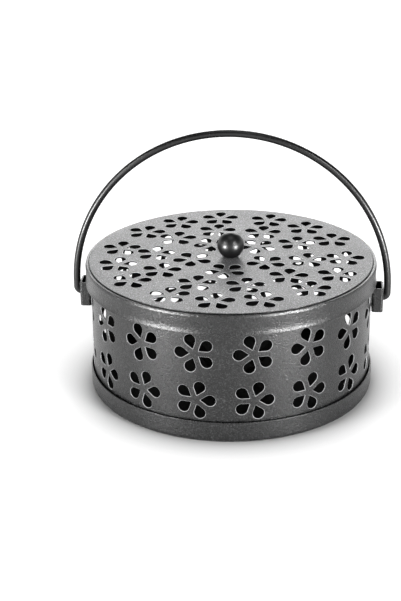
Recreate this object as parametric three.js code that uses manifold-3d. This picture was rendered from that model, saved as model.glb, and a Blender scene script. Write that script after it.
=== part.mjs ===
// Mosquito coil holder: a round sheet-steel case with flower cut-outs, a lid with a ball knob,
// and a wire bail on two lugs. Millimetres, +Z up. The origin is the centre of the pan's underside,
// and the two lugs stand on the X axis.
import * as THREE from 'three';
import { mergeVertices } from 'three/addons/utils/BufferGeometryUtils.js';
import Module from 'manifold-3d';

const wasm = await Module();
wasm.setup();

// Case
const LID_RADIUS = 80;
const LID_HEIGHT = 73.2;
const SHEET = 0.8;
const BAND_SHEET = 0.9;
const CLEARANCE = 0.3;
const CUT_OVERRUN = 1;

// Lid: a disc in a band with a shoulder, a skirt and a rolled hem
const SHOULDER_WIDTH = 2;
const SHOULDER_ROUNDING = 1.1;
const DISC_STEP = 0.7;
const SKIRT_DROP = 11;
const SKIRT_CLEARANCE = 1.4;
const FLANGE_WIDTH = 4.2;
const HEM_HEIGHT = 1.5;
const HEM_PROUD = 0.25;

// Pan round the wall's foot
const PAN_HEIGHT = 11.9;
const PAN_CLEARANCE = 0.7;
const PAN_FOOT_ROUNDING = 2.6;
const PAN_LIP_ROUNDING = 0.35;

// Flower cut-out: five petals, each a round end drawn to a point towards the middle
const PETALS = 5;
const PETAL_POINT_DISTANCE = 2.7;
const PETAL_END_RADIUS = 3.1;
const PETAL_OUTER_DISTANCE = 10.9;

// Wall pattern: two rows of columns on the bare wall between the pan and the skirt
const WALL_COLUMNS = 16;
const WALL_FIRST_COLUMN_DEGREES = 12.4;
const WALL_ROWS = [
  { heightShare: 0.236, turnDegrees: 0 },
  { heightShare: 0.764, turnDegrees: 180 },
];

// Lid pattern: the flowers of one fifth of the disc, on one side of its middle line and on it.
// The radius is a share of the disc's, and the turn is against the flower's own radius.
const LID_PATTERN_DEGREES = 50.1;
const LID_MIDDLE_LINE_FLOWERS = [
  { radiusShare: 0.273, asideDegrees: 0, turnDegrees: 0 },
  { radiusShare: 0.804, asideDegrees: 0, turnDegrees: 36 },
];
const LID_SIDE_FLOWERS = [
  { radiusShare: 0.541, asideDegrees: 17.85, turnDegrees: 18.15 },
  { radiusShare: 0.804, asideDegrees: 22.7, turnDegrees: 8.8 },
];

// Knob, its screw and its washer
const KNOB_RADIUS = 7.4;
const KNOB_FOOT_RADIUS = 3.8;
const SCREW_RADIUS = 1.5;
const SCREW_REACH = 7;
const SCREW_HEAD_RADIUS = 3.2;
const SCREW_HEAD_HEIGHT = 1.8;
const SCREW_SLOT_WIDTH = 0.9;
const SCREW_SLOT_DEPTH = 0.8;
const WASHER_RADIUS = 5;
const WASHER_THICKNESS = 1;

// Lugs: folded sleeves under the skirt, each held by two rivets
const LUG_BELOW_SKIRT = 3.5;
const LUG_WIDTH = 12;
const LUG_HEIGHT = 14;
const LUG_DEPTH = 6.2;
const LUG_SHEET = 1;
const LUG_FOLD_RADIUS = 1.4;
const RIVET_RADIUS = 1.2;
const RIVET_HEAD_RADIUS = 1.9;
const RIVET_HEAD_HEIGHT = 0.9;

// Bail: round wire with a half-circle arch on short legs
const WIRE_RADIUS = 1.95;
const BAIL_LEG_RISE = 5.6;
const BAIL_BEND_RADIUS = 2.5;
const BAIL_END_GAP = 0.9;

// Coil stand: a flat hub, arms that rise to rests, and a pointed tongue
const STAND_SHEET = 0.8;
const STAND_HUB_RADIUS = 9;
const STAND_ARMS = 4;
const STAND_ARM_RISE_START = 16;
const STAND_ARM_RISE_END = 34;
const STAND_ARM_REST = 6;
const STAND_ARM_WIDTH = 6;
const STAND_REST_HEIGHT = 9;
const STAND_TONGUE_HEIGHT = 24;
const STAND_TONGUE_WIDTH = 5;
const STAND_TONGUE_POINT = 6;

// Smoothness: sides and steps of the rounds
const CASE_SIDES = 64;
const BAND_SIDES = 64;
const KNOB_SIDES = 24;
const KNOB_RINGS = 10;
const FASTENER_SIDES = 12;
const EYE_SIDES = 24;
const WIRE_SIDES = 10;
const BAIL_ARC_STEPS = 40;
const BEND_STEPS = 4;
const ROUNDING_STEPS = 3;
const PETAL_END_STEPS = 5;

// Heights and radii that follow from the values above
const discRadius = LID_RADIUS - SHOULDER_WIDTH;
const discUnderside = LID_HEIGHT - SHEET;
const shoulderHeight = LID_HEIGHT - DISC_STEP;
const flangeTop = discUnderside - CLEARANCE;
const flangeUnderside = flangeTop - BAND_SHEET;
const skirtBottom = shoulderHeight - SKIRT_DROP;
const skirtInnerRadius = LID_RADIUS - BAND_SHEET;
const wallRadius = skirtInnerRadius - SKIRT_CLEARANCE;
const wallInnerRadius = wallRadius - SHEET;
const panInnerFoot = PAN_FOOT_ROUNDING - SHEET;
const wallSeatDrop = Math.sqrt((panInnerFoot - CLEARANCE) ** 2 - (panInnerFoot - PAN_CLEARANCE) ** 2);
const wallBottom = PAN_FOOT_ROUNDING - wallSeatDrop;
const wallTop = flangeUnderside - CLEARANCE;
const panInnerRadius = wallRadius + PAN_CLEARANCE;
const panRadius = panInnerRadius + SHEET;
const lugTop = skirtBottom - LUG_BELOW_SKIRT;
const lugBottom = lugTop - LUG_HEIGHT;
const lugInnerX = wallRadius + CLEARANCE;
const lugOuterX = lugInnerX + LUG_DEPTH;
const pivotHeight = (lugTop + lugBottom) / 2;
const rivetOffset = WIRE_RADIUS + 2 * CLEARANCE + RIVET_HEAD_RADIUS;
const rivetHeights = [pivotHeight - rivetOffset, pivotHeight + rivetOffset];
const bailRadius = lugOuterX + CLEARANCE + WIRE_RADIUS;
const knobFoot = LID_HEIGHT + CLEARANCE;
const washerTop = discUnderside - CLEARANCE;
const washerUnderside = washerTop - WASHER_THICKNESS;
const screwHoleRadius = SCREW_RADIUS + CLEARANCE;
const standBottom = SHEET + CLEARANCE;
const mergeTolerance = CLEARANCE / 10000;

const radians = THREE.MathUtils.degToRad;

// Closed mesh with merged vertices, ready for cuts and joins
function toSolid(geometry) {
  const bare = geometry.clone();
  bare.deleteAttribute('normal');
  bare.deleteAttribute('uv');
  const merged = mergeVertices(bare, mergeTolerance);
  return new wasm.Manifold(new wasm.Mesh({
    numProp: 3,
    vertProperties: new Float32Array(merged.attributes.position.array),
    triVerts: new Uint32Array(merged.index.array),
  }));
}

function toGeometry(solid) {
  const mesh = solid.getMesh();
  const geometry = new THREE.BufferGeometry();
  geometry.setAttribute('position', new THREE.BufferAttribute(new Float32Array(mesh.vertProperties), 3));
  geometry.setIndex(new THREE.BufferAttribute(new Uint32Array(mesh.triVerts), 1));
  return geometry;
}

const joined = (solids) => solids.reduce((sum, solid) => sum.add(solid));

// Solid turned about Z from [radius, height] points given anticlockwise.
// The profile starts and ends on the axis, or is a ring's and is closed here.
function turned(points, sides) {
  const profile = points.map(([radius, height]) => new THREE.Vector2(radius, height));
  if (points[0][0] > 0) profile.push(profile[0].clone());
  const geometry = new THREE.LatheGeometry(profile, sides);
  geometry.rotateX(Math.PI / 2);
  return toSolid(geometry);
}

// Points along a round, from one angle to another
function roundPoints(centre, radius, fromDegrees, toDegrees, steps) {
  return Array.from({ length: steps + 1 }, (_, step) => {
    const angle = radians(fromDegrees + ((toDegrees - fromDegrees) * step) / steps);
    return [centre[0] + radius * Math.cos(angle), centre[1] + radius * Math.sin(angle)];
  });
}

// Upright round post from one height to another
function post(radius, bottom, top, sides) {
  return turned([[0, bottom], [radius, bottom], [radius, top], [0, top]], sides);
}

// Round post along X from one X to another, at a height
function crossPost(radius, height, fromX, toX, sides) {
  const geometry = new THREE.CylinderGeometry(radius, radius, toX - fromX, sides);
  geometry.rotateZ(Math.PI / 2);
  geometry.translate((fromX + toX) / 2, 0, height);
  return toSolid(geometry);
}

// Flat shape in X and Z, thickened along Y and centred there
function uprightPlate(shape, thickness) {
  const geometry = new THREE.ExtrudeGeometry(shape, { depth: thickness, bevelEnabled: false });
  geometry.rotateX(Math.PI / 2);
  geometry.translate(0, thickness / 2, 0);
  return geometry;
}

// One petal that points along +X, with its point nearest the flower's middle
function petalShape() {
  const endCentre = PETAL_OUTER_DISTANCE - PETAL_END_RADIUS;
  const pointAngle = Math.asin(PETAL_END_RADIUS / (endCentre - PETAL_POINT_DISTANCE));
  const sweep = 90 + THREE.MathUtils.radToDeg(pointAngle);
  const outline = [
    [PETAL_POINT_DISTANCE, 0],
    ...roundPoints([endCentre, 0], PETAL_END_RADIUS, -sweep, sweep, PETAL_END_STEPS),
  ];
  return new THREE.Shape(outline.map(([x, y]) => new THREE.Vector2(x, y)));
}

// The petals of one flower as prisms that pass through a sheet whose outer face is at Z zero
function flowerCutters(turnDegrees) {
  const depth = SHEET + 2 * CUT_OVERRUN;
  return Array.from({ length: PETALS }, (_, petal) => {
    const cutter = new THREE.ExtrudeGeometry(petalShape(), { depth, bevelEnabled: false });
    cutter.translate(0, 0, CUT_OVERRUN - depth);
    cutter.rotateZ(radians(turnDegrees + (360 / PETALS) * petal));
    return cutter;
  });
}

function basePan() {
  const foot = PAN_FOOT_ROUNDING;
  const lip = PAN_LIP_ROUNDING;
  return turned([
    [0, 0],
    ...roundPoints([panRadius - foot, foot], foot, -90, 0, ROUNDING_STEPS),
    ...roundPoints([panRadius - lip, PAN_HEIGHT - lip], lip, 0, 90, 1),
    [panInnerRadius, PAN_HEIGHT],
    ...roundPoints([panInnerRadius - panInnerFoot, foot], panInnerFoot, 0, -90, ROUNDING_STEPS),
    [0, SHEET],
  ], CASE_SIDES);
}

function wallFlowers() {
  const cutters = [];
  const bareHeight = skirtBottom - PAN_HEIGHT;
  for (let column = 0; column < WALL_COLUMNS; column += 1) {
    const azimuth = WALL_FIRST_COLUMN_DEGREES + (360 / WALL_COLUMNS) * column;
    for (const { heightShare, turnDegrees } of WALL_ROWS) {
      for (const cutter of flowerCutters(turnDegrees)) {
        cutter.rotateX(Math.PI / 2);
        cutter.rotateZ(Math.PI / 2);
        cutter.translate(wallRadius, 0, PAN_HEIGHT + heightShare * bareHeight);
        cutter.rotateZ(radians(azimuth));
        cutters.push(toSolid(cutter));
      }
    }
  }
  return joined(cutters);
}

// Holes for a lug's two rivets, from one X to another
function rivetHoles(fromX, toX) {
  const radius = RIVET_RADIUS + CLEARANCE;
  return joined(rivetHeights.map((height) => crossPost(radius, height, fromX, toX, FASTENER_SIDES)));
}

function caseWall() {
  const sleeve = turned([
    [wallInnerRadius, wallBottom],
    [wallRadius, wallBottom],
    [wallRadius, wallTop],
    [wallInnerRadius, wallTop],
  ], CASE_SIDES);
  const nearX = wallInnerRadius - CUT_OVERRUN;
  const farX = wallRadius + CUT_OVERRUN;
  return sleeve
    .subtract(wallFlowers())
    .subtract(rivetHoles(nearX, farX))
    .subtract(rivetHoles(-farX, -nearX));
}

function lidFlowers() {
  const mirrored = LID_SIDE_FLOWERS.map(({ radiusShare, asideDegrees, turnDegrees }) => (
    { radiusShare, asideDegrees: -asideDegrees, turnDegrees: -turnDegrees }
  ));
  const fifth = [...LID_MIDDLE_LINE_FLOWERS, ...LID_SIDE_FLOWERS, ...mirrored];
  const cutters = [];
  for (let repeat = 0; repeat < PETALS; repeat += 1) {
    for (const { radiusShare, asideDegrees, turnDegrees } of fifth) {
      const azimuth = LID_PATTERN_DEGREES + (360 / PETALS) * repeat + asideDegrees;
      for (const cutter of flowerCutters(turnDegrees)) {
        cutter.translate(radiusShare * discRadius, 0, LID_HEIGHT);
        cutter.rotateZ(radians(azimuth));
        cutters.push(toSolid(cutter));
      }
    }
  }
  return joined(cutters);
}

function lidTop() {
  const disc = post(discRadius, discUnderside, LID_HEIGHT, BAND_SIDES);
  const screwHole = post(
    screwHoleRadius,
    discUnderside - CUT_OVERRUN,
    LID_HEIGHT + CUT_OVERRUN,
    FASTENER_SIDES,
  );
  return disc.subtract(lidFlowers()).subtract(screwHole);
}

// Skirt, shoulder round the disc, and the flange that carries the disc
function lidBand() {
  const rounding = SHOULDER_ROUNDING;
  const curbRadius = discRadius + CLEARANCE;
  const flangeInnerRadius = discRadius - FLANGE_WIDTH;
  return turned([
    [skirtInnerRadius, skirtBottom],
    [LID_RADIUS, skirtBottom],
    [LID_RADIUS + HEM_PROUD, skirtBottom + HEM_HEIGHT / 3],
    [LID_RADIUS + HEM_PROUD, skirtBottom + (HEM_HEIGHT * 2) / 3],
    [LID_RADIUS, skirtBottom + HEM_HEIGHT],
    ...roundPoints([LID_RADIUS - rounding, shoulderHeight - rounding], rounding, 0, 90, ROUNDING_STEPS),
    [curbRadius, shoulderHeight],
    [curbRadius, flangeTop],
    [flangeInnerRadius, flangeTop],
    [flangeInnerRadius, flangeUnderside],
    [skirtInnerRadius, flangeUnderside],
  ], BAND_SIDES);
}

// Ball with a flat foot, bored from below for its screw
function knob() {
  const centreRise = Math.sqrt(KNOB_RADIUS ** 2 - KNOB_FOOT_RADIUS ** 2);
  const footDegrees = THREE.MathUtils.radToDeg(Math.asin(KNOB_FOOT_RADIUS / KNOB_RADIUS));
  const centre = [0, knobFoot + centreRise];
  const round = roundPoints(centre, KNOB_RADIUS, footDegrees - 90, 90, KNOB_RINGS).slice(0, -1);
  const ball = turned([
    [0, knobFoot],
    ...round,
    [0, knobFoot + centreRise + KNOB_RADIUS],
  ], KNOB_SIDES);
  const bore = post(
    screwHoleRadius,
    knobFoot - CUT_OVERRUN,
    knobFoot + SCREW_REACH + CLEARANCE,
    FASTENER_SIDES,
  );
  return ball.subtract(bore);
}

function knobWasher() {
  return turned([
    [screwHoleRadius, washerUnderside],
    [WASHER_RADIUS, washerUnderside],
    [WASHER_RADIUS, washerTop],
    [screwHoleRadius, washerTop],
  ], KNOB_SIDES);
}

// Slotted screw that comes up through the washer and the disc into the knob
function knobScrew() {
  const headTop = washerUnderside - CLEARANCE;
  const headUnderside = headTop - SCREW_HEAD_HEIGHT;
  const chamfer = SCREW_HEAD_HEIGHT / 3;
  const shankTop = knobFoot + SCREW_REACH;
  const screw = turned([
    [0, headUnderside],
    [SCREW_HEAD_RADIUS - chamfer, headUnderside],
    [SCREW_HEAD_RADIUS, headUnderside + chamfer],
    [SCREW_HEAD_RADIUS, headTop],
    [SCREW_RADIUS, headTop],
    [SCREW_RADIUS, shankTop],
    [0, shankTop],
  ], 2 * FASTENER_SIDES);
  const slot = new THREE.BoxGeometry(2 * WASHER_RADIUS, SCREW_SLOT_WIDTH, 2 * SCREW_SLOT_DEPTH);
  slot.translate(0, 0, headUnderside);
  return screw.subtract(toSolid(slot));
}

// Rectangle with round corners in the XY plane
function roundedRectangle(fromX, toX, halfWidth, corner) {
  const corners = [
    [toX - corner, -halfWidth + corner, -90],
    [toX - corner, halfWidth - corner, 0],
    [fromX + corner, halfWidth - corner, 90],
    [fromX + corner, -halfWidth + corner, 180],
  ];
  const points = corners.flatMap(([x, y, from]) => (
    roundPoints([x, y], corner, from, from + 90, ROUNDING_STEPS)
  ));
  return points.map(([x, y]) => new THREE.Vector2(x, y));
}

// The right-hand lug: a sleeve open above and below, with an eye for the bail in its outer plate
function lug() {
  const halfWidth = LUG_WIDTH / 2;
  const outline = new THREE.Shape(roundedRectangle(lugInnerX, lugOuterX, halfWidth, LUG_FOLD_RADIUS));
  outline.holes.push(new THREE.Path(roundedRectangle(
    lugInnerX + LUG_SHEET,
    lugOuterX - LUG_SHEET,
    halfWidth - LUG_SHEET,
    LUG_FOLD_RADIUS - LUG_SHEET,
  )));
  const sleeve = new THREE.ExtrudeGeometry(outline, { depth: LUG_HEIGHT, bevelEnabled: false });
  sleeve.translate(0, 0, lugBottom);
  const plateX = lugOuterX - LUG_SHEET;
  const eye = crossPost(
    WIRE_RADIUS + CLEARANCE,
    pivotHeight,
    plateX - CUT_OVERRUN,
    lugOuterX + CUT_OVERRUN,
    EYE_SIDES,
  );
  const backX = lugInnerX + LUG_SHEET;
  return toSolid(sleeve).subtract(eye).subtract(rivetHoles(lugInnerX - CUT_OVERRUN, backX + CUT_OVERRUN));
}

// One right-hand rivet, from a head inside the case to a head inside the lug
function rivet(height) {
  const caseFace = wallInnerRadius - CLEARANCE;
  const lugFace = lugInnerX + LUG_SHEET + CLEARANCE;
  const edge = RIVET_HEAD_HEIGHT / 3;
  const caseEnd = caseFace - RIVET_HEAD_HEIGHT;
  const lugEnd = lugFace + RIVET_HEAD_HEIGHT;
  const geometry = toGeometry(turned([
    [0, caseEnd],
    [RIVET_HEAD_RADIUS - edge, caseEnd],
    [RIVET_HEAD_RADIUS, caseEnd + edge],
    [RIVET_HEAD_RADIUS, caseFace],
    [RIVET_RADIUS, caseFace],
    [RIVET_RADIUS, lugFace],
    [RIVET_HEAD_RADIUS, lugFace],
    [RIVET_HEAD_RADIUS, lugEnd - edge],
    [RIVET_HEAD_RADIUS - edge, lugEnd],
    [0, lugEnd],
  ], FASTENER_SIDES));
  geometry.rotateY(Math.PI / 2);
  geometry.translate(0, 0, height);
  return toSolid(geometry);
}

// The bail's centre line, in at one lug, over the lid and in at the other.
// Its steps are as the points give them, close together in the bends.
class BailLine extends THREE.Curve {
  constructor() {
    super();
    const bend = BAIL_BEND_RADIUS;
    const endX = lugInnerX + LUG_SHEET + BAIL_END_GAP;
    const arcHeight = pivotHeight + BAIL_LEG_RISE;
    const right = [
      [endX, pivotHeight],
      ...roundPoints([bailRadius - bend, pivotHeight + bend], bend, -90, 0, BEND_STEPS),
    ];
    const arch = roundPoints([0, arcHeight], bailRadius, 0, 180, BAIL_ARC_STEPS);
    const left = right.map(([x, z]) => [-x, z]).reverse();
    this.points = [...right, ...arch, ...left].map(([x, z]) => new THREE.Vector3(x, 0, z));
  }

  getPoint(share, target = new THREE.Vector3()) {
    const place = share * (this.points.length - 1);
    const index = Math.min(Math.floor(place), this.points.length - 2);
    return target.lerpVectors(this.points[index], this.points[index + 1], place - index);
  }

  getUtoTmapping(share) {
    return share;
  }
}

function bail() {
  const line = new BailLine();
  const section = new THREE.Shape(
    roundPoints([0, 0], WIRE_RADIUS, 0, 360, WIRE_SIDES)
      .slice(0, -1)
      .map(([x, y]) => new THREE.Vector2(x, y)),
  );
  return toSolid(new THREE.ExtrudeGeometry(section, {
    steps: line.points.length - 1,
    extrudePath: line,
    bevelEnabled: false,
  }));
}

// One arm of the stand, seen from its side: flat, rising, then flat again
function standArm() {
  const rest = standBottom + STAND_REST_HEIGHT;
  const slant = STAND_SHEET / 2;
  const outline = [
    [0, standBottom],
    [STAND_ARM_RISE_START + slant, standBottom],
    [STAND_ARM_RISE_END + slant, rest - STAND_SHEET],
    [STAND_ARM_RISE_END + STAND_ARM_REST, rest - STAND_SHEET],
    [STAND_ARM_RISE_END + STAND_ARM_REST, rest],
    [STAND_ARM_RISE_END - slant, rest],
    [STAND_ARM_RISE_START - slant, standBottom + STAND_SHEET],
    [0, standBottom + STAND_SHEET],
  ];
  return uprightPlate(new THREE.Shape(outline.map(([x, z]) => new THREE.Vector2(x, z))), STAND_ARM_WIDTH);
}

function standTongue() {
  const halfWidth = STAND_TONGUE_WIDTH / 2;
  const top = standBottom + STAND_TONGUE_HEIGHT;
  const outline = [
    [-halfWidth, standBottom],
    [halfWidth, standBottom],
    [halfWidth, top - STAND_TONGUE_POINT],
    [0, top],
    [-halfWidth, top - STAND_TONGUE_POINT],
  ];
  return uprightPlate(new THREE.Shape(outline.map(([x, z]) => new THREE.Vector2(x, z))), STAND_SHEET);
}

function coilStand() {
  const pieces = [
    post(STAND_HUB_RADIUS, standBottom, standBottom + STAND_SHEET, KNOB_SIDES),
    toSolid(standTongue()),
  ];
  for (let arm = 0; arm < STAND_ARMS; arm += 1) {
    const geometry = standArm();
    geometry.rotateZ(radians((360 / STAND_ARMS) * (arm + 1 / 2)));
    pieces.push(toSolid(geometry));
  }
  return joined(pieces);
}

const coatedSteel = () => new THREE.MeshStandardMaterial({ color: 0x4a4b4d, roughness: 0.45, metalness: 0.6 });
const blackWire = () => new THREE.MeshStandardMaterial({ color: 0x242527, roughness: 0.4, metalness: 0.5 });
const glossBlack = () => new THREE.MeshStandardMaterial({ color: 0x17181a, roughness: 0.25, metalness: 0.4 });
const zincSteel = () => new THREE.MeshStandardMaterial({ color: 0x9a9da0, roughness: 0.35, metalness: 0.9 });

function piece(name, solid, material) {
  const mesh = new THREE.Mesh(toGeometry(solid), material);
  mesh.name = name;
  return mesh;
}

// A lug with its rivets, built on the right and turned round for the left
function lugAssembly(side, turnDegrees) {
  const assembly = new THREE.Group();
  assembly.add(piece(`lug_${side}`, lug(), coatedSteel()));
  ['low', 'high'].forEach((place, index) => {
    assembly.add(piece(`lug_${side}_rivet_${place}`, rivet(rivetHeights[index]), zincSteel()));
  });
  assembly.rotation.z = radians(turnDegrees);
  return assembly;
}

const holder = new THREE.Group();
holder.add(piece('base_pan', basePan(), coatedSteel()));
holder.add(piece('case_wall', caseWall(), coatedSteel()));
holder.add(piece('coil_stand', coilStand(), coatedSteel()));
holder.add(lugAssembly('right', 0));
holder.add(lugAssembly('left', 180));
holder.add(piece('bail', bail(), blackWire()));

const lid = new THREE.Group();
lid.add(piece('lid_top', lidTop(), coatedSteel()));
lid.add(piece('lid_band', lidBand(), coatedSteel()));
lid.add(piece('knob', knob(), glossBlack()));
lid.add(piece('knob_washer', knobWasher(), zincSteel()));
lid.add(piece('knob_screw', knobScrew(), zincSteel()));
holder.add(lid);

export default holder;
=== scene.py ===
"""Mosquito coil holder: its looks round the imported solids, and the floor, lights and camera.

Lengths are metres. The case stands on z = 0, its lugs are on the X axis and its front faces -Y.
Outlines are pairs of arrays: points, and the directions that look away from the material there.
"""

import math

import bpy
import numpy as np
from mathutils import Matrix, Vector
from mathutils.geometry import delaunay_2d_cdt


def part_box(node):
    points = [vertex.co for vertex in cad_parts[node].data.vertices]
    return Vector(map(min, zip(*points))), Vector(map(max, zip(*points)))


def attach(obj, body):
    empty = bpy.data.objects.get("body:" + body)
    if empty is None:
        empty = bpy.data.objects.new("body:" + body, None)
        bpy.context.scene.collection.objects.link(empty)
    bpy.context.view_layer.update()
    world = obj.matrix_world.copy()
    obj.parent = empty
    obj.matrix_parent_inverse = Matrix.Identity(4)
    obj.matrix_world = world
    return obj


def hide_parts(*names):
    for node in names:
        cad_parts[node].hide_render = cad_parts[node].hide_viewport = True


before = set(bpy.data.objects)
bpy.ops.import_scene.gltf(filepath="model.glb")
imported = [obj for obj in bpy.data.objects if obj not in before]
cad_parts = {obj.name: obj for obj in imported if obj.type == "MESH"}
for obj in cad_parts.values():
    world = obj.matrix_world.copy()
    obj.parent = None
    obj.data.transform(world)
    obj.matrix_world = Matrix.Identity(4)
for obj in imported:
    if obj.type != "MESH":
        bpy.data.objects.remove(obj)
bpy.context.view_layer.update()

MM = 0.001

# Sheet metal
SHEET = 0.8 * MM
BAND_SHEET = 0.9 * MM
LUG_SHEET = 1.0 * MM
CUT_ROUNDING = 0.25 * MM
EDGE_ROUNDING = 0.3 * MM
CLEARANCE = 0.3 * MM

# Flower cut-out: five petals, each from a small round tip to a large round end
PETALS = 5
PETAL_TIP_DISTANCE = 2.75 * MM
PETAL_TIP_RADIUS = 0.25 * MM
PETAL_END_RADIUS = 3.1 * MM
PETAL_OUTER_DISTANCE = 10.9 * MM

# Wall pattern: the first column is in degrees, and the rows are (share of the bare wall's height,
# turn in degrees). The wall's seam lies aside of the middle of the right lug.
WALL_COLUMNS = 16
WALL_FIRST_COLUMN = 12.4
WALL_ROWS = ((0.236, 0), (0.764, 180))
SEAM_ASIDE = 3.2 * MM

# Lid pattern: the first fifth is in degrees, and the flowers of one fifth are (share of the disc's
# radius, degrees aside, turn in degrees). Those at the side are mirrored too.
LID_FIFTHS = 5
LID_FIRST_FIFTH = 50.1
LID_MIDDLE_FLOWERS = ((0.273, 0, 0), (0.804, 0, 36))
LID_SIDE_FLOWERS = ((0.541, 17.85, 18.15), (0.804, 22.7, 8.8))

# Band round the lid
BEVEL_HEIGHT = 1.3 * MM
BEVEL_WIDTH = 0.32 * MM
SHOULDER_ROUNDING = 1.0 * MM
FLANGE_WIDTH = 4.2 * MM
HEM_HEIGHT = 0.6 * MM
HEM_PROUD = 0.2 * MM
FLARE_HEIGHT = 3.4 * MM
FLARE_POWER = 3

# Pan
PAN_FOOT_ROUNDING = 2.6 * MM
PAN_LIP_ROUNDING = 0.32 * MM

# Knob and its screw, whose slot is a shallow round recess here
KNOB_FOOT_RADIUS = 3.8 * MM
SCREW_RADIUS = 1.5 * MM
SCREW_REACH = 7 * MM
SCREW_RECESS_RADIUS = 0.9 * MM
SCREW_RECESS_DEPTH = 0.8 * MM / 3

# Lugs, rivets and bail
LUG_FOLD_RADIUS = 1.4 * MM
RIVET_RADIUS = 1.2 * MM
WIRE_RADIUS = 1.95 * MM
BAIL_BEND_RADIUS = 2.5 * MM
BAIL_LEG_RISE = 5.6 * MM
BAIL_END_DOME = 0.45 * MM
BAIL_END_CLEARANCE = 3 * CLEARANCE

# Small roundings of turned forms
HEAD_ROUNDING = 2 * EDGE_ROUNDING
CORNER_ROUNDING = CUT_ROUNDING / 2

# Round the middles of holes, no loose points lie within these distances
FLOWER_SURROUND = PETAL_OUTER_DISTANCE + 1.0 * MM
RIVET_SURROUND = 2 * RIVET_RADIUS
EYE_SURROUND = WIRE_RADIUS + 3 * CLEARANCE

# Smoothness: the sides of round forms, and the steps that arcs and straights are divided into
CASE_SIDES = 256
KNOB_SIDES = 96
FASTENER_SIDES = 48
WIRE_SIDES = 32
EYE_SIDES = 48
FASTENER_HOLE_SIDES = 24
ARC_STEPS = 4
PETAL_END_STEPS = 18
PETAL_TIP_STEPS = 4
PETAL_SIDE_STEPS = 5
WALL_HEIGHT_STEPS = 15
SEAM_STEPS = 23
FLARE_STEPS = 8
KNOB_STEPS = 48
LUG_HEIGHT_STEPS = 29
LUG_FLAT_STEPS = 6
BAIL_BEND_STEPS = 12
BAIL_ARCH_STEPS = 180

# A point of a turned form that has a smaller radius lies on its axis
AXIS_TOLERANCE = 1e-9

# Triangulation: nearer points than this, in millimetres, become one, and the number asks for the
# triangles inside the outlines
MERGE_DISTANCE_MM = 1e-5
TRIANGLES_INSIDE = 1

# Finishes: the material slots after a piece's coat. What lies deeper than the lining depth under
# the case's outer face gets a near-black lining, painted shade for the dark inside the case, and a
# face that looks up by less than CUT_EDGE_RISE is a cut edge.
SHADE_LINING, CUT_EDGE = 1, 2
SHADE_LINING_DEPTH = 0.75 * SHEET
CUT_EDGE_RISE = 0.5

# Noise lies mostly between these values. A tint is the colour of a shade of 1.
NOISE_LOW, NOISE_HIGH = 0.3, 0.7
COOL = (0.99, 1.0, 1.02)
COLD = (0.98, 1.0, 1.02)
WARM = (1.0, 0.99, 0.97)
NEUTRAL = (1.0, 1.0, 1.0)
WHITE = (1, 1, 1, 1)

# Camera: its roll is in degrees, its lens in millimetres, and its reach is how far it sees
CAMERA_PLACE = Vector((43.456, -667.707, 334.017)) * MM
CAMERA_AIM = Vector((-16.902, -1.531, 46.849)) * MM
CAMERA_ROLL = -0.75
CAMERA_LENS = 77.92
CAMERA_REACH = 20
CAMERA_SIDE = math.degrees(math.atan2(CAMERA_PLACE.x, -CAMERA_PLACE.y))

# Floor and backdrop: their glow grows from nothing at the pan's foot, the faster the greater its
# power, which paints a contact shadow round the case, and from its near level at the start of its
# ramp to full white at the end
FLOOR_SIZE = 8.0
FLOOR_DROP = 0.05 * MM
BACKDROP_RADIUS = 3.9
BACKDROP_HEIGHT = 1.3
BACKDROP_SIDES = 96
GLOW_START, GLOW_END = 0.09, 0.2
GLOW_NEAR = 0.8
GLOW_POWER = 6

# Lamps: (name, degrees aside of the camera, degrees of rise, distance, width, height, radiance).
# The strips lie below the lid's plane, so that they light the walls and leave the lid alone.
LAMPS = (
    ("left_strip", -50, -1.1, 0.8, 0.2, 0.065, 300),
    ("left_softbox", -58, 27, 0.85, 0.25, 0.25, 14),
    ("right_strip", 43, -1.1, 0.8, 0.2, 0.065, 325),
    ("right_softbox", 38, 29, 0.85, 0.25, 0.25, 17),
    ("back_panel", 180, 23, 1.4, 1.1, 0.5, 6.5),
    ("top_softbox", 0, 85, 1.2, 0.6, 0.6, 1.5),
)
SURROUND_STRENGTH = 0.05


def node_span(node):
    """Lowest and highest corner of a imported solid, as arrays."""
    low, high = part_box(node)
    return np.array(low), np.array(high)


DISC_LOW, DISC_HIGH = node_span("lid_top")
BAND_LOW, BAND_HIGH = node_span("lid_band")
WALL_LOW, WALL_HIGH = node_span("case_wall")
KNOB_LOW, KNOB_HIGH = node_span("knob")
LUG_LOW, LUG_HIGH = node_span("lug_right")
RIVET_LOW, RIVET_HIGH = node_span("lug_right_rivet_low")
PAN_HIGH = node_span("base_pan")[1]
BAIL_HIGH = node_span("bail")[1]

DISC_RADIUS = DISC_HIGH[0]
LID_RADIUS = BAND_HIGH[0] - HEM_PROUD
WALL_RADIUS = WALL_HIGH[0]
PAN_RADIUS = PAN_HIGH[0]
PIVOT_HEIGHT = (LUG_LOW[2] + LUG_HIGH[2]) / 2
RIVET_RISE = PIVOT_HEIGHT - (RIVET_LOW[2] + RIVET_HIGH[2]) / 2
RIVET_HEIGHTS = (PIVOT_HEIGHT - RIVET_RISE, PIVOT_HEIGHT + RIVET_RISE)


# Outlines and loose points

def between(low, high, steps):
    """Levels that divide a span into steps, without its ends."""
    return np.linspace(low, high, steps + 1)[1:-1]


def paired(breadths, heights):
    """Points of (breadth, height). Either may be one number for all of them."""
    return np.stack(np.broadcast_arrays(breadths, heights), 1)


def arc(centre, radius, start, end, steps):
    """Points round a centre and their directions away from it, angles in degrees."""
    angles = np.radians(np.linspace(start, end, steps + 1))
    away = np.stack([np.cos(angles), np.sin(angles)], 1)
    return np.asarray(centre) + radius * away, away


def line_between(start, end, steps):
    """Points strictly between two points."""
    return start + (end - start) * between(0, 1, steps)[:, None]


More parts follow.
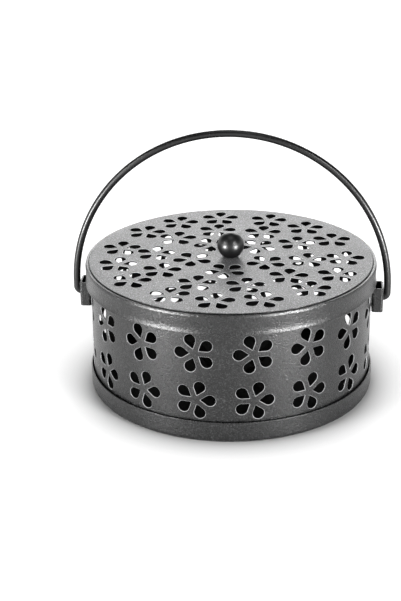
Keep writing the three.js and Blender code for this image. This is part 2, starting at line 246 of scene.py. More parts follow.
def turned_by(points, degrees):
    """Points or directions turned anticlockwise round the origin."""
    angle = math.radians(degrees)
    turn = np.array([[math.cos(angle), math.sin(angle)], [-math.sin(angle), math.cos(angle)]])
    return points @ turn


def petal():
    """Anticlockwise outline of a petal along +X. The void is inside, so directions look inwards."""
    end_centre = PETAL_OUTER_DISTANCE - PETAL_END_RADIUS
    tip_centre = PETAL_TIP_DISTANCE + PETAL_TIP_RADIUS
    rise = (PETAL_END_RADIUS - PETAL_TIP_RADIUS) / (end_centre - tip_centre)
    lean = math.degrees(math.asin(rise))
    end, end_away = arc((end_centre, 0), PETAL_END_RADIUS, -90 - lean, 90 + lean, PETAL_END_STEPS)
    tip, tip_away = arc((tip_centre, 0), PETAL_TIP_RADIUS, 90 + lean, 270 - lean, PETAL_TIP_STEPS)
    upper = line_between(end[-1], tip[0], PETAL_SIDE_STEPS)
    lower = line_between(tip[-1], end[0], PETAL_SIDE_STEPS)
    points = np.concatenate([end, upper, tip, lower])
    away = np.concatenate([
        end_away,
        np.repeat(end_away[-1:], len(upper), 0),
        tip_away,
        np.repeat(tip_away[-1:], len(lower), 0),
    ])
    return points, -away


def flower(centre, turn):
    """The petal outlines of one flower."""
    points, into = petal()
    outlines = []
    for index in range(PETALS):
        degrees = turn + 360 / PETALS * index
        outlines.append((turned_by(points, degrees) + np.asarray(centre), turned_by(into, degrees)))
    return outlines


def round_hole(centre, radius, sides):
    """Anticlockwise outline of a round hole, its directions looking into the void."""
    points, away = arc(centre, radius, 0, 360, sides)
    return points[:-1], -away[:-1]


def rivet_hole(centre):
    """Hole for a rivet's shank."""
    return round_hole(centre, RIVET_RADIUS + CLEARANCE, FASTENER_HOLE_SIDES)


def rounded(corners, closed=True):
    """Outline through (x, y, rounding) corners given anticlockwise, each corner an arc."""
    places = [np.array(corner[:2], float) for corner in corners]
    count = len(corners)
    points, away = [], []
    for index, corner in enumerate(corners):
        place = places[index]
        before = place - places[index - 1]
        after = places[(index + 1) % count] - place
        if not closed and index in (0, count - 1):
            along = after if index == 0 else before
            along = along / np.linalg.norm(along)
            points.append(place)
            away.append(np.array([along[1], -along[0]]))
            continue
        before = before / np.linalg.norm(before)
        after = after / np.linalg.norm(after)
        bend = math.atan2(before[0] * after[1] - before[1] * after[0], before @ after)
        side = math.copysign(1, bend)
        radius = corner[2]
        normal = np.array([before[1], -before[0]])
        start = place - before * radius * math.tan(abs(bend) / 2)
        centre = start - side * radius * normal
        for share in np.linspace(0, 1, ARC_STEPS + 1):
            direction = turned_by(normal[None], math.degrees(bend * share))[0]
            points.append(centre + side * radius * direction)
            away.append(direction)
    return np.array(points), np.array(away)


def point_grid(breadths, low, high, steps):
    """Loose points inside a band, at its breadths and at heights that divide it into steps."""
    return np.stack(np.meshgrid(breadths[1:-1], between(low, high, steps)), -1).reshape(-1, 2)


def clear_of(points, centres, distance):
    """The points that lie further than a distance from every centre."""
    gaps = np.linalg.norm(points[:, None] - np.array(centres)[None], axis=2)
    return points[(gaps > distance).all(1)]


# Meshes

def add_piece(name, vertices, faces, normals, rim=None):
    """Smooth mesh object with its own vertex normals. rim marks cut edges, from 0 to 1."""
    mesh = bpy.data.meshes.new(name)
    mesh.from_pydata([tuple(v) for v in vertices], [], [tuple(f) for f in faces])
    mesh.polygons.foreach_set("use_smooth", [True] * len(mesh.polygons))
    attribute = mesh.attributes.new("rim", "FLOAT", "POINT")
    attribute.data.foreach_set("value", np.zeros(len(vertices), np.float32) if rim is None else rim)
    mesh.normals_split_custom_set_from_vertices([tuple(n) for n in normals])
    piece = bpy.data.objects.new(name, mesh)
    bpy.context.scene.collection.objects.link(piece)
    return piece


def faces_between(rings):
    """Faces from ring to ring of vertex numbers. A ring that is one vertex gets triangles."""
    faces = []
    for near, far in zip(rings, rings[1:]):
        corners = np.stack([near, np.roll(near, -1), np.roll(far, -1), far], 1)
        faces.extend(list(dict.fromkeys(face)) for face in corners.tolist())
    return faces


def unit_circle(sides):
    """Points of a circle of radius 1."""
    angles = np.linspace(0, 2 * math.pi, sides, endpoint=False)
    return np.stack([np.cos(angles), np.sin(angles)], 1)


def turned_piece(name, outline, sides, closed=True, lay=np.eye(3)):
    """Outline of (radius, height) turned round Z, then laid as a matrix says.

    An open outline starts and ends on the axis.
    """
    circle = unit_circle(sides)
    vertices, normals, rings = [], [], []
    for (radius, height), (out, up) in zip(*outline):
        start = len(vertices)
        if radius < AXIS_TOLERANCE:
            rings.append(np.full(sides, start))
            vertices.append((0, 0, height))
            normals.append((0, 0, math.copysign(1, up)))
        else:
            rings.append(np.arange(start, start + sides))
            vertices.extend((radius * x, radius * y, height) for x, y in circle)
            normals.extend((out * x, out * y, up) for x, y in circle)
    if closed:
        rings.append(rings[0])
    faces = faces_between(rings)
    return add_piece(name, np.array(vertices) @ lay.T, faces, np.array(normals) @ lay.T)


class FlatSheet:
    """A sheet laid out flat: its points, and the outlines that its triangles keep to.

    An edge is (point numbers, outline, directions away from the sheet, whether it is a hole's).
    Its points lie back from its outline by the rounding. joined takes the points of a seam's far
    side to those of its near side.
    """

    def __init__(self, rounding):
        self.rounding = rounding
        self.points, self.outlines, self.edges = [], [], []
        self.joined = {}

    def add(self, points):
        """Takes points in and gives their numbers."""
        start = len(self.points)
        self.points.extend(np.asarray(points))
        return list(range(start, len(self.points)))

    def bound(self, outline, away):
        """Bounds the sheet by a closed clockwise outline."""
        numbers = self.add(outline - away * self.rounding)
        self.edges.append((numbers, outline, away, False))
        self.outlines.append(numbers[::-1])

    def wrap(self, breadths, low, high):
        """Bounds the sheet by two heights. It closes on itself over the breadths."""
        up = np.tile([0.0, 1.0], (len(breadths), 1))
        top_line, low_line = paired(breadths, high), paired(breadths, low)
        top = self.add(top_line - up * self.rounding)
        bottom = self.add(low_line + up * self.rounding)
        heights = between(low + self.rounding, high - self.rounding, SEAM_STEPS)
        near = self.add(paired(breadths[0], heights))
        far = self.add(paired(breadths[-1], heights))
        self.joined = dict(zip([top[-1], bottom[-1], *far], [top[0], bottom[0], *near]))
        self.edges.append((top[:-1], top_line[:-1], up[:-1], False))
        self.edges.append((bottom[-2::-1], low_line[-2::-1], -up[:-1], False))
        self.outlines.append(bottom + far + top[::-1] + near[::-1])

    def pierce(self, outline, away):
        """Cuts a hole of an anticlockwise outline."""
        numbers = self.add(outline - away * self.rounding)
        self.edges.append((numbers, outline, away, True))
        self.outlines.append(numbers)

    def triangles(self, name):
        """Triangles inside the first outline and outside the others, as point numbers.

        They are found in millimetres, because the coordinates there are of single precision.
        """
        flat = [Vector(point * (1 / MM)) for point in self.points]
        corners, _, triangles, sources, _, owners = delaunay_2d_cdt(
            flat, [], self.outlines, TRIANGLES_INSIDE, MERGE_DISTANCE_MM, True,
        )
        if len(corners) != len(flat):
            raise RuntimeError(f"{name}: outlines meet, {len(flat)} points gave {len(corners)}")
        numbers = [self.joined.get(min(source), min(source)) for source in sources]
        return [
            [numbers[corner] for corner in triangle]
            for triangle, owner in zip(triangles, owners) if owner == [0]
        ]


def edge_rows(rounding, thickness):
    """Rows round a sheet's edge from its outer to its inner face: inset, depth, out and up."""
    rows = []
    for angle in np.radians(np.linspace(0, 90, ARC_STEPS)[1:]):
        sine, cosine = math.sin(angle), math.cos(angle)
        rows.append((rounding * (1 - sine), rounding * (1 - cosine), sine, cosine))
    back = [(inset, thickness - depth, out, -up) for inset, depth, out, up in reversed(rows)]
    return rows + back


def paleness(out, up):
    """Paleness on a hole's edge, partly wear of the coat and partly a painted highlight: from none
    on the flat to all half-way round, and none at the back.
    """
    return 2 * out * max(up, 0.0)


def pierced_sheet(name, place, holes, thickness, rounding, edge=None, band=None, inner=()):
    """Sheet with round-edged holes, bent to a surface.

    place(points) gives their places on the surface, and the directions that look right, up and out
    there. The sheet has an edge, or it is a band of (breadths, low, high) that closes on itself.
    inner are loose points that help it to bend.
    """
    flat = FlatSheet(rounding)
    if band is None:
        flat.bound(*edge)
    else:
        flat.wrap(*band)
    for hole in holes:
        flat.pierce(*hole)
    flat.add(np.reshape(inner, (-1, 2)))
    triangles = flat.triangles(name)

    base, _, _, out_way = place(np.array(flat.points))
    total = len(base)
    vertices = [base, base - out_way * thickness]
    normals = [out_way, -out_way]
    rim = [np.zeros(2 * total)]
    faces = triangles + [[corner + total for corner in face[::-1]] for face in triangles]
    start = 2 * total
    for numbers, outline, away, is_hole in flat.edges:
        count = len(numbers)
        rings = [np.array(numbers)]
        for inset, depth, out, up in edge_rows(rounding, thickness):
            spot, right_way, up_way, out_way = place(outline - away * inset)
            edge_way = away[:, :1] * right_way + away[:, 1:] * up_way
            vertices.append(spot - out_way * depth)
            normals.append(edge_way * out + out_way * up)
            rim.append(np.full(count, is_hole * paleness(out, up)))
            rings.append(np.arange(start, start + count))
            start += count
        rings.append(rings[0] + total)
        faces.extend(faces_between(rings))

    vertices, normals, rim = (np.concatenate(parts) for parts in (vertices, normals, rim))
    used = np.unique([corner for face in faces for corner in face])
    renumber = np.full(len(vertices), -1)
    renumber[used] = np.arange(len(used))
    faces = [renumber[face].tolist() for face in faces]
    return add_piece(name, vertices[used], faces, normals[used], rim[used])


def on_plane(height):
    """Places flat points on a level plane."""
    def place(points):
        count = len(points)
        base = np.concatenate([points, np.full((count, 1), height)], 1)
        return base, *(np.tile(axis, (count, 1)) for axis in np.eye(3))
    return place


def on_cylinder(radius):
    """Places points of (arc length, height) round Z."""
    def place(points):
        angle = points[:, 0] / radius
        nought = np.zeros(len(points))
        out_way = np.stack([np.cos(angle), np.sin(angle), nought], 1)
        right_way = np.stack([-np.sin(angle), np.cos(angle), nought], 1)
        up_way = np.tile([0.0, 0.0, 1.0], (len(points), 1))
        base = out_way * radius + up_way * points[:, 1:]
        return base, right_way, up_way, out_way
    return place


# The case

def base_pan():
    """Shallow pan with a round foot and a round lip."""
    inner = PAN_RADIUS - SHEET
    outline = rounded([
        (0, 0, 0),
        (PAN_RADIUS, 0, PAN_FOOT_ROUNDING),
        (PAN_RADIUS, PAN_HIGH[2], PAN_LIP_ROUNDING),
        (inner, PAN_HIGH[2], PAN_LIP_ROUNDING),
        (inner, SHEET, PAN_FOOT_ROUNDING - SHEET),
        (0, SHEET, 0),
    ], closed=False)
    return turned_piece("base_pan_skin", outline, CASE_SIDES, closed=False)


def case_wall():
    """Rolled wall with two rows of flowers, and the rivets' holes behind both lugs."""
    length = 2 * math.pi * WALL_RADIUS
    pitch = length / WALL_COLUMNS
    first = (WALL_FIRST_COLUMN / 360) * length
    bare_low, bare_high = PAN_HIGH[2], BAND_LOW[2]
    holes, centres = [], []
    for column in range(WALL_COLUMNS):
        for share, turn in WALL_ROWS:
            centre = (first + pitch * column, bare_low + share * (bare_high - bare_low))
            centres.append(centre)
            holes.extend(flower(centre, turn))
    rivets = [(breadth, height) for breadth in (length, length / 2) for height in RIVET_HEIGHTS]
    holes.extend(rivet_hole(centre) for centre in rivets)
    breadths = SEAM_ASIDE + np.linspace(0, length, CASE_SIDES + 1)
    inner = point_grid(breadths, WALL_LOW[2], WALL_HIGH[2], WALL_HEIGHT_STEPS)
    inner = clear_of(inner, centres, FLOWER_SURROUND)
    inner = clear_of(inner, rivets, RIVET_SURROUND)
    return pierced_sheet(
        "case_wall_skin", on_cylinder(WALL_RADIUS), holes, SHEET, CUT_ROUNDING,
        band=(breadths, WALL_LOW[2], WALL_HIGH[2]), inner=inner,
    )


# The lid

def lid_top():
    """Flat disc with rings of flowers and the screw's hole."""
    mirrored = [(share, -aside, -turn) for share, aside, turn in LID_SIDE_FLOWERS]
    holes = []
    for fifth in range(LID_FIFTHS):
        for share, aside, turn in (*LID_MIDDLE_FLOWERS, *LID_SIDE_FLOWERS, *mirrored):
            azimuth = LID_FIRST_FIFTH + 360 / LID_FIFTHS * fifth + aside
            angle = math.radians(azimuth)
            reach = share * DISC_RADIUS
            centre = (reach * math.cos(angle), reach * math.sin(angle))
            holes.extend(flower(centre, azimuth + turn))
    holes.append(round_hole((0, 0), SCREW_RADIUS + CLEARANCE, FASTENER_HOLE_SIDES))
    points, away = arc((0, 0), DISC_RADIUS, 360, 0, CASE_SIDES)
    return pierced_sheet(
        "lid_top_skin", on_plane(DISC_HIGH[2]), holes, SHEET, CUT_ROUNDING,
        edge=(points[:-1], away[:-1]),
    )


def lid_band():
    """Band with a bevelled shoulder, and a skirt drawn in at its waist above a rounded hem."""
    skirt_inner = LID_RADIUS - BAND_SHEET
    curb = DISC_RADIUS + CLEARANCE
    flange_top = DISC_LOW[2] - CLEARANCE
    flange_low = flange_top - BAND_SHEET
    flange_inner = DISC_RADIUS - FLANGE_WIDTH
    bottom, top = BAND_LOW[2], BAND_HIGH[2]
    outer = LID_RADIUS + HEM_PROUD
    waist = LID_RADIUS - HEM_PROUD
    flare = []
    for share in np.linspace(0, 1, FLARE_STEPS + 1):
        drawn = (outer - waist) * (1 - (1 - share) ** FLARE_POWER)
        flare.append((outer - drawn, bottom + HEM_HEIGHT + FLARE_HEIGHT * share, HEM_HEIGHT))
    outline = rounded([
        (skirt_inner, bottom, EDGE_ROUNDING),
        (outer, bottom, HEM_HEIGHT / 2),
        *flare,
        (LID_RADIUS, top - BEVEL_HEIGHT, SHOULDER_ROUNDING),
        (LID_RADIUS - BEVEL_WIDTH, top, EDGE_ROUNDING),
        (curb, top, CORNER_ROUNDING),
        (curb, flange_top, CORNER_ROUNDING),
        (flange_inner, flange_top, EDGE_ROUNDING),
        (flange_inner, flange_low, EDGE_ROUNDING),
        (skirt_inner, flange_low, BAND_SHEET / 2),
    ])
    return turned_piece("lid_band_skin", outline, CASE_SIDES)


def knob():
    """Ball on a flat foot, bored from below for its screw."""
    radius = KNOB_HIGH[0]
    foot = KNOB_LOW[2]
    centre = (0, foot + math.sqrt(radius ** 2 - KNOB_FOOT_RADIUS ** 2))
    start = math.degrees(math.asin(KNOB_FOOT_RADIUS / radius)) - 90
    ball, ball_away = arc(centre, radius, start, 90, KNOB_STEPS)
    ball[-1, 0] = 0  # the top lies on the axis
    bore = SCREW_RADIUS + CLEARANCE
    bore_top = foot + SCREW_REACH + CLEARANCE
    hollow, hollow_away = rounded([
        (0, bore_top, 0),
        (bore, bore_top, CUT_ROUNDING),
        (bore, foot, CUT_ROUNDING),
        (KNOB_FOOT_RADIUS, foot, 0),
    ], closed=False)
    outline = np.concatenate([hollow, ball]), np.concatenate([hollow_away, ball_away])
    return turned_piece("knob_skin", outline, KNOB_SIDES, closed=False)


def knob_washer():
    """Flat ring between the disc and the screw's head."""
    low, high = node_span("knob_washer")
    hole = SCREW_RADIUS + CLEARANCE
    outline = rounded([
        (hole, low[2], CUT_ROUNDING),
        (high[0], low[2], CUT_ROUNDING),
        (high[0], high[2], CUT_ROUNDING),
        (hole, high[2], CUT_ROUNDING),
    ])
    return turned_piece("knob_washer_skin", outline, FASTENER_SIDES)


def knob_screw():
    """Screw that comes up through the washer and the disc into the knob."""
    low, high = node_span("knob_screw")
    head_top = node_span("knob_washer")[0][2] - CLEARANCE
    recess_top = low[2] + SCREW_RECESS_DEPTH
    outline = rounded([
        (0, recess_top, 0),
        (SCREW_RECESS_RADIUS, recess_top, CORNER_ROUNDING),
        (SCREW_RECESS_RADIUS, low[2], CORNER_ROUNDING),
        (high[0], low[2], HEAD_ROUNDING),
        (high[0], head_top, CUT_ROUNDING),
        (SCREW_RADIUS, head_top, CUT_ROUNDING),
        (SCREW_RADIUS, high[2], CUT_ROUNDING),
        (0, high[2], 0),
    ], closed=False)
    return turned_piece("knob_screw_skin", outline, FASTENER_SIDES, closed=False)


# Lugs, rivets and bail

def on_fold(inner_x, outer_x, half_width):
    """Places points of (length round a folded sleeve, height) round Z.

    Also gives the lengths at which the sheet is divided, and those of the middles of its outer and
    its back face.
    """
    corner = LUG_FOLD_RADIUS
    centres = [
        (outer_x - corner, -half_width + corner), (outer_x - corner, half_width - corner),
        (inner_x + corner, half_width - corner), (inner_x + corner, -half_width + corner),
    ]
    flats = [2 * (half_width - corner), outer_x - inner_x - 2 * corner] * 2
    fold = corner * math.pi / 2
    starts = np.cumsum([0] + [fold + flat for flat in flats])

    def place(points):
        count = len(points)
        base, right_way, out_way = (np.zeros((count, 3)) for _ in range(3))
        length = np.mod(points[:, 0], starts[-1])
        for index, centre in enumerate(centres):
            here = (length >= starts[index]) & (length <= starts[index + 1])
            along = length[here] - starts[index]
            angle = -math.pi / 2 + index * math.pi / 2 + np.minimum(along, fold) / corner
            out = np.stack([np.cos(angle), np.sin(angle)], 1)
            right = np.stack([-np.sin(angle), np.cos(angle)], 1)
            beyond = np.maximum(along - fold, 0)[:, None]
            base[here, :2] = np.array(centre) + corner * out + right * beyond
            out_way[here, :2] = out
            right_way[here, :2] = right
        base[:, 2] = points[:, 1]
        up_way = np.tile([0.0, 0.0, 1.0], (count, 1))
        return base, right_way, up_way, out_way

    breadths = []
    for start, flat in zip(starts, flats):
        breadths.extend(start + np.linspace(0, fold, ARC_STEPS + 1, endpoint=False))
        breadths.extend(start + fold + np.linspace(0, flat, LUG_FLAT_STEPS, endpoint=False))
    breadths.append(starts[-1])
    outer_middle = starts[0] + fold + flats[0] / 2
    back_middle = starts[2] + fold + flats[2] / 2
    return place, np.array(breadths), outer_middle, back_middle


def lug(side, turn):
    """Folded sleeve with an eye for the bail and two rivets' holes, turned to its side."""
    place, breadths, eye_at, rivets_at = on_fold(LUG_LOW[0], LUG_HIGH[0], LUG_HIGH[1])
    eye = (eye_at, PIVOT_HEIGHT)
    rivets = [(rivets_at, height) for height in RIVET_HEIGHTS]
    holes = [round_hole(eye, WIRE_RADIUS + CLEARANCE, EYE_SIDES), *map(rivet_hole, rivets)]
    low, high = LUG_LOW[2], LUG_HIGH[2]
    grid = point_grid(breadths, low, high, LUG_HEIGHT_STEPS)
    inner = clear_of(grid, [eye, *rivets], EYE_SURROUND)

    def facing(points):
        return tuple(part @ turn.T for part in place(points))

    return pierced_sheet(
        f"lug_{side}_skin", facing, holes, LUG_SHEET, EDGE_ROUNDING,
        band=(breadths, low, high), inner=inner,
    )


def rivet(side, level, turn):
    """A rivet along +X with a low domed head at each end, then turned to its side."""
    low, high = node_span(f"lug_right_rivet_{level}")
    height = (low[2] + high[2]) / 2
    head = high[2] - height
    shank_start = WALL_RADIUS - SHEET - CLEARANCE
    shank_end = LUG_LOW[0] + LUG_SHEET + CLEARANCE
    outline = rounded([
        (0, low[0], 0),
        (head, low[0], HEAD_ROUNDING),
        (head, shank_start, CORNER_ROUNDING),
        (RIVET_RADIUS, shank_start, CORNER_ROUNDING),
        (RIVET_RADIUS, shank_end, CORNER_ROUNDING),
        (head, shank_end, CORNER_ROUNDING),
        (head, high[0], HEAD_ROUNDING),
        (0, high[0], 0),
    ], closed=False)
    along_x = np.array([[0.0, 0.0, 1.0], [0.0, 1.0, 0.0], [-1.0, 0.0, 0.0]])
    name = f"lug_{side}_rivet_{level}_skin"
    piece = turned_piece(name, outline, FASTENER_SIDES, closed=False, lay=turn @ along_x)
    piece.data.transform(Matrix.Translation((0, 0, height)))
    return piece


def bail_line():
    """Centre line of the bail in X and Z, from right to left, and the directions out of it."""
    bend = BAIL_BEND_RADIUS
    radius = BAIL_HIGH[0] - WIRE_RADIUS
    end_x = LUG_LOW[0] + LUG_SHEET + BAIL_END_CLEARANCE
    arch_height = PIVOT_HEIGHT + BAIL_LEG_RISE
    foot_centre = (radius - bend, PIVOT_HEIGHT + bend)
    foot, foot_away = arc(foot_centre, bend, -90, 0, BAIL_BEND_STEPS)
    arch, arch_away = arc((0, arch_height), radius, 0, 180, BAIL_ARCH_STEPS)
    start = np.array([[end_x, PIVOT_HEIGHT]])
    points = np.concatenate([start, foot, arch, foot[::-1] * (-1, 1), start * (-1, 1)])
    away = np.concatenate([[(0, -1)], foot_away, arch_away, foot_away[::-1] * (-1, 1), [(0, -1)]])
    return points, away


def bail():
    """Round wire whose ends are bent inwards into the lugs and end in low domes."""
    points, away = bail_line()
    domes = []
    for angle in np.radians(np.linspace(0, 90, ARC_STEPS)):
        inset = BAIL_END_DOME * (1 - math.cos(angle))
        radius = WIRE_RADIUS - BAIL_END_DOME * (1 - math.sin(angle))
        domes.append((points[0] + (inset, 0), away[0], radius, math.cos(angle)))
    sections = [
        *domes,
        *((point, out, WIRE_RADIUS, 0) for point, out in zip(points[1:-1], away[1:-1])),
        *((point * (-1, 1), out, radius, tilt) for point, out, radius, tilt in reversed(domes)),
    ]
    circle = unit_circle(WIRE_SIDES)
    vertices, normals = [], []
    for (x, z), (right, up), radius, tilt in sections:
        out = np.stack([right * circle[:, 0], circle[:, 1], up * circle[:, 0]], 1)
        vertices.extend(radius * out + (x, 0, z))
        normals.extend(out * math.sqrt(1 - tilt * tilt) - (tilt * math.copysign(1, x), 0, 0))
    rings = np.arange(len(vertices)).reshape(-1, WIRE_SIDES)
    faces = faces_between(rings)
    faces.extend([rings[0][::-1].tolist(), rings[-1].tolist()])
    return add_piece("bail_skin", vertices, faces, normals)


# Finishes

class Finish:
    """A material in the making: its shader, and the nodes that feed it."""

    def __init__(self, name):
        self.material = bpy.data.materials.new(name)
        self.material.use_nodes = True
        self.nodes = self.material.node_tree.nodes
        self.shader = self.nodes["Principled BSDF"]
        self.place = self.nodes.new("ShaderNodeTexCoord").outputs["Object"]

    def put(self, socket, value):
        """Puts a plain value into a socket, or links another node's output to it."""
        if isinstance(value, bpy.types.NodeSocket):
            self.material.node_tree.links.new(value, socket)
        else:
            socket.default_value = value

    def set(self, name, value):
        """Sets one of the shader's own sockets."""
        self.put(self.shader.inputs[name], value)

    def node(self, kind, inputs, operation=None):
        """A new node with its inputs, given by their names or numbers."""
        node = self.nodes.new(kind)
        if operation is not None:
            node.operation = operation
        for key, value in inputs.items():
            self.put(node.inputs[key], value)
        return node

    def noise(self, scale, detail, roughness=0.5):
        """Noise over the object, mostly between NOISE_LOW and NOISE_HIGH."""
        inputs = {"Vector": self.place, "Scale": scale, "Detail": detail, "Roughness": roughness}
        return self.node("ShaderNodeTexNoise", inputs).outputs["Fac"]

    def remapped(self, value, to_low, to_high, low=NOISE_LOW, high=NOISE_HIGH):
        """A value's range taken to another one, and held inside it."""
        inputs = {"Value": value, "From Min": low, "From Max": high}
        inputs.update({"To Min": to_low, "To Max": to_high})
        return self.node("ShaderNodeMapRange", inputs).outputs["Result"]

    def combined(self, operation, first, second):
        """Two values put together by an arithmetic operation."""
        return self.node("ShaderNodeMath", {0: first, 1: second}, operation).outputs["Value"]

    def paint(self, shade, tint):
        """Base colour: a tint times a shade."""
        node = self.node("ShaderNodeVectorMath", {0: tint, "Scale": shade}, "SCALE")
        self.set("Base Color", node.outputs["Vector"])

    def bump(self, height, strength, distance):
        """Fine relief from a height."""
        inputs = {"Height": height, "Strength": strength, "Distance": distance}
        self.set("Normal", self.node("ShaderNodeBump", inputs).outputs["Normal"])


def coated_steel(name, shade, fleck, wear_and_highlight, roughness, gloss):
    """Anthracite coating with a fine grain of pale flecks, lighter on cut edges: partly a thin coat
    there, partly a painted highlight.
    """
    finish = Finish(name)
    grain = finish.noise(scale=1300, detail=2.0, roughness=0.6)
    fleck_noise = finish.noise(scale=1500, detail=1.0)
    flecks = finish.remapped(fleck_noise, 0.0, fleck, low=0.5, high=0.75)
    cloud = finish.remapped(finish.noise(scale=40, detail=3.0), *shade)
    rim = finish.nodes.new("ShaderNodeAttribute")
    rim.attribute_name = "rim"
    # Pale cut edges: partly a worn thin coat, partly a painted highlight.
    edge = finish.combined("MULTIPLY", rim.outputs["Fac"], wear_and_highlight)
    body = finish.combined("ADD", cloud, flecks)
    finish.paint(finish.combined("ADD", body, edge), COOL)
    finish.set("Roughness", finish.remapped(grain, *roughness))
    finish.set("Specular IOR Level", gloss)
    finish.bump(grain, strength=1.0, distance=0.0002)
    return finish.material


def grained(name, tint, cloud, shade, grain, roughness, relief, gloss=0.5, metallic=0.0):
    """A finish whose shade follows one noise, and whose roughness and relief follow another.

    The noises, cloud and grain, are (scale, detail, roughness). shade and roughness are ranges, and
    relief is (strength, distance).
    """
    finish = Finish(name)
    finish.paint(finish.remapped(finish.noise(*cloud), *shade), tint)
    height = finish.noise(*grain)
    finish.set("Roughness", finish.remapped(height, *roughness))
    finish.set("Specular IOR Level", gloss)
    finish.set("Metallic", metallic)
    finish.bump(height, *relief)
    return finish.material


def painted_shade_lining():
    """Painted shade inside the case: a matt near-black lining for the dark within, with paler
    patches.
    """
    return grained(
        "painted_shade_lining", WARM, cloud=(120, 4.0, 0.6), shade=(0.002, 0.008), grain=(120, 4.0, 0.6),
        roughness=(0.75, 0.9), relief=(0.4, 0.0002), gloss=0.08,
    )


def black_wire():
    """Satin black coating on the bail's wire."""
    return grained(
        "black_wire", COOL, cloud=(60, 2.0), shade=(0.002, 0.005), grain=(900, 2.0),
        roughness=(0.26, 0.36), relief=(0.2, 0.0001), gloss=0.35,
    )


def gloss_black():
    """Black enamel on the knob, with a faint orange peel."""
    return grained(
        "gloss_black", COOL, cloud=(90, 2.0), shade=(0.002, 0.005), grain=(700, 1.5),
        roughness=(0.31, 0.38), relief=(0.12, 0.0001),
    )


def zinc_steel():
    """Bright zinc plating with a fine spangle."""
    return grained(
        "zinc_steel", COLD, cloud=(350, 3.0), shade=(0.42, 0.6), grain=(350, 3.0),
        roughness=(0.3, 0.42), relief=(0.1, 0.0001), metallic=1.0,
    )


def pale_floor():
    """Pale matt floor and backdrop.

    Camera, gloss and glass see it glow to white further off, where no lamp reaches. Towards the
    pan's foot the glow falls to nothing over a narrow ring, a painted contact shadow on top of the
    case's own shadow.
    """
    finish = Finish("pale_floor")
    cloud = finish.noise(scale=3, detail=2.0)
    finish.paint(finish.remapped(cloud, to_low=0.48, to_high=0.52), NEUTRAL)
    finish.set("Roughness", 0.9)
    finish.set("Specular IOR Level", 0.1)
    path = finish.nodes.new("ShaderNodeLightPath").outputs
    seen = finish.combined("MAXIMUM", path["Is Camera Ray"], path["Is Glossy Ray"])
    seen = finish.combined("MAXIMUM", seen, path["Is Transmission Ray"])
    reach = finish.node("ShaderNodeVectorMath", {0: finish.place}, "LENGTH").outputs["Value"]
    ramp = finish.remapped(reach, GLOW_NEAR, 1.0, low=GLOW_START, high=GLOW_END)
    # Painted contact shadow: the glow dies out in a ring round the pan's foot.
    reach_in_pans = finish.combined("MULTIPLY", reach, 1 / PAN_RADIUS)
    painted_shadow = finish.combined("POWER", reach_in_pans, -GLOW_POWER)
    outside_painted_shadow = finish.remapped(painted_shadow, 1.0, 0.0, low=0.0, high=1.0)
    glow = finish.combined("MULTIPLY", ramp, outside_painted_shadow)
    finish.set("Emission Color", WHITE)
    finish.set("Emission Strength", finish.combined("MULTIPLY", seen, glow))
    return finish.material


# Floor, light and camera

def floor(finish):
    """Level floor under the case."""
    half = FLOOR_SIZE / 2
    corners = [(-half, -half), (half, -half), (half, half), (-half, half)]
    vertices = [(x, y, -FLOOR_DROP) for x, y in corners]
    piece = add_piece("floor", vertices, [(0, 1, 2, 3)], [(0, 0, 1)] * 4)
    piece.data.materials.append(finish)


def backdrop(finish):
    """Upright wall round the floor, so that the view ends in white from every side."""
    outwards = np.pad(unit_circle(BACKDROP_SIDES), ((0, 0), (0, 1)))
    foot = outwards * BACKDROP_RADIUS
    vertices = np.concatenate([foot, foot + (0, 0, BACKDROP_HEIGHT)])
    faces = faces_between(np.arange(len(vertices)).reshape(2, -1))
    normals = np.concatenate([-outwards, -outwards])
    piece = add_piece("backdrop", vertices, [face[::-1] for face in faces], normals)
    piece.data.materials.append(finish)


def lamp(name, aside, rise, distance, width, height, radiance):
    """Area lamp that looks at the case, at angles from the camera's side, as bright as said."""
    azimuth = math.radians(CAMERA_SIDE + aside)
    elevation = math.radians(rise)
    level = math.cos(elevation)
    towards = Vector((math.sin(azimuth) * level, -math.cos(azimuth) * level, math.sin(elevation)))
    data = bpy.data.lights.new(name, "AREA")
    data.shape = "RECTANGLE"
    data.size = width
    data.size_y = height
    data.energy = radiance * math.pi * width * height
    made = bpy.data.objects.new(name, data)
    made.location = Vector((0, 0, PIVOT_HEIGHT)) + towards * distance
    made.rotation_mode = "QUATERNION"
    made.rotation_quaternion = towards.to_track_quat("Z", "Y")
    made.visible_camera = False
    bpy.context.scene.collection.objects.link(made)


def surround():
    """Faint even light from all round."""
    world = bpy.data.worlds.new("surround")
    world.use_nodes = True
    background = world.node_tree.nodes["Background"]
    background.inputs["Color"].default_value = WHITE
    background.inputs["Strength"].default_value = SURROUND_STRENGTH
    bpy.context.scene.world = world


def camera():
    """The photograph's point of view."""
    data = bpy.data.cameras.new("camera")
    data.lens = CAMERA_LENS
    data.clip_end = CAMERA_REACH
    made = bpy.data.objects.new("camera", data)
    made.location = CAMERA_PLACE
    view = (CAMERA_AIM - CAMERA_PLACE).to_track_quat("-Z", "Y")
    roll = Matrix.Rotation(math.radians(CAMERA_ROLL), 4, "Z")
    made.rotation_mode = "QUATERNION"
    made.rotation_quaternion = (view.to_matrix().to_4x4() @ roll).to_quaternion()
    bpy.context.scene.collection.objects.link(made)
    bpy.context.scene.camera = made


# Dressing

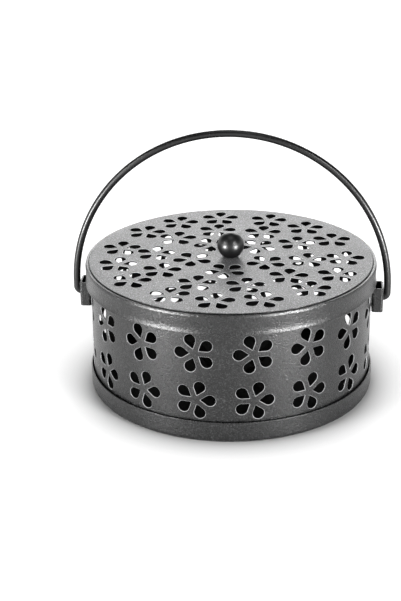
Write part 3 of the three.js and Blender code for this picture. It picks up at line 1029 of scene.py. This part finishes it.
def is_inside(spot):
    """Whether a spot on the sheet metal looks into the case."""
    within = math.hypot(spot.x, spot.y) < WALL_RADIUS - SHADE_LINING_DEPTH
    return within and SHEET / 2 < spot.z < DISC_HIGH[2] - SHADE_LINING_DEPTH


def dress(piece, node, body, coat, shade_lining=None, cut_edge=None):
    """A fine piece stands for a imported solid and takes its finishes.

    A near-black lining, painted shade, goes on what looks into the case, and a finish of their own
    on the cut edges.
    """
    for finish in (coat, shade_lining, cut_edge):
        if finish is not None:
            piece.data.materials.append(finish)
    for face in piece.data.polygons:
        if shade_lining is not None and is_inside(face.center):
            face.material_index = SHADE_LINING
        elif cut_edge is not None and face.normal.z < CUT_EDGE_RISE:
            face.material_index = CUT_EDGE
    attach(piece, body)
    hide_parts(node)


camera()
pale = pale_floor()
floor(pale)
backdrop(pale)
for values in LAMPS:
    lamp(*values)
surround()

coat = coated_steel(
    "coated_steel",
    shade=(0.001, 0.003), fleck=0.025, wear_and_highlight=0.26, roughness=(0.24, 0.37), gloss=0.42,
)
# The same coat painted lighter for the lid's disc: a painted sheen for the light that the disc
# catches from behind.
lid_painted_light_coat = coated_steel(
    "coated_steel_painted_lighter",
    shade=(0.08, 0.13), fleck=0.28, wear_and_highlight=1.0, roughness=(0.35, 0.47), gloss=0.31,
)
painted_shade, wire_black, knob_black, zinc = painted_shade_lining(), black_wire(), gloss_black(), zinc_steel()

dress(base_pan(), "base_pan", "case", coat, painted_shade)
dress(case_wall(), "case_wall", "case", coat, painted_shade)
for side, degrees in (("right", 0), ("left", 180)):
    turn = np.array(Matrix.Rotation(math.radians(degrees), 3, "Z"))
    dress(lug(side, turn), f"lug_{side}", "case", coat)
    for level in ("low", "high"):
        dress(rivet(side, level, turn), f"lug_{side}_rivet_{level}", "case", zinc)
dress(bail(), "bail", "bail", wire_black)
# The disc's top takes the coat painted lighter, while its cut edges keep the dark coat so that they
# read as shaded.
dress(lid_top(), "lid_top", "lid", lid_painted_light_coat, painted_shade, coat)
dress(lid_band(), "lid_band", "lid", coat, painted_shade)
dress(knob(), "knob", "lid", knob_black)
dress(knob_washer(), "knob_washer", "lid", zinc)
dress(knob_screw(), "knob_screw", "lid", zinc)
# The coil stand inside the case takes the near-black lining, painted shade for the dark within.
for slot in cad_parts["coil_stand"].material_slots:
    slot.material = painted_shade

bpy.context.scene.view_settings.view_transform = "Standard"
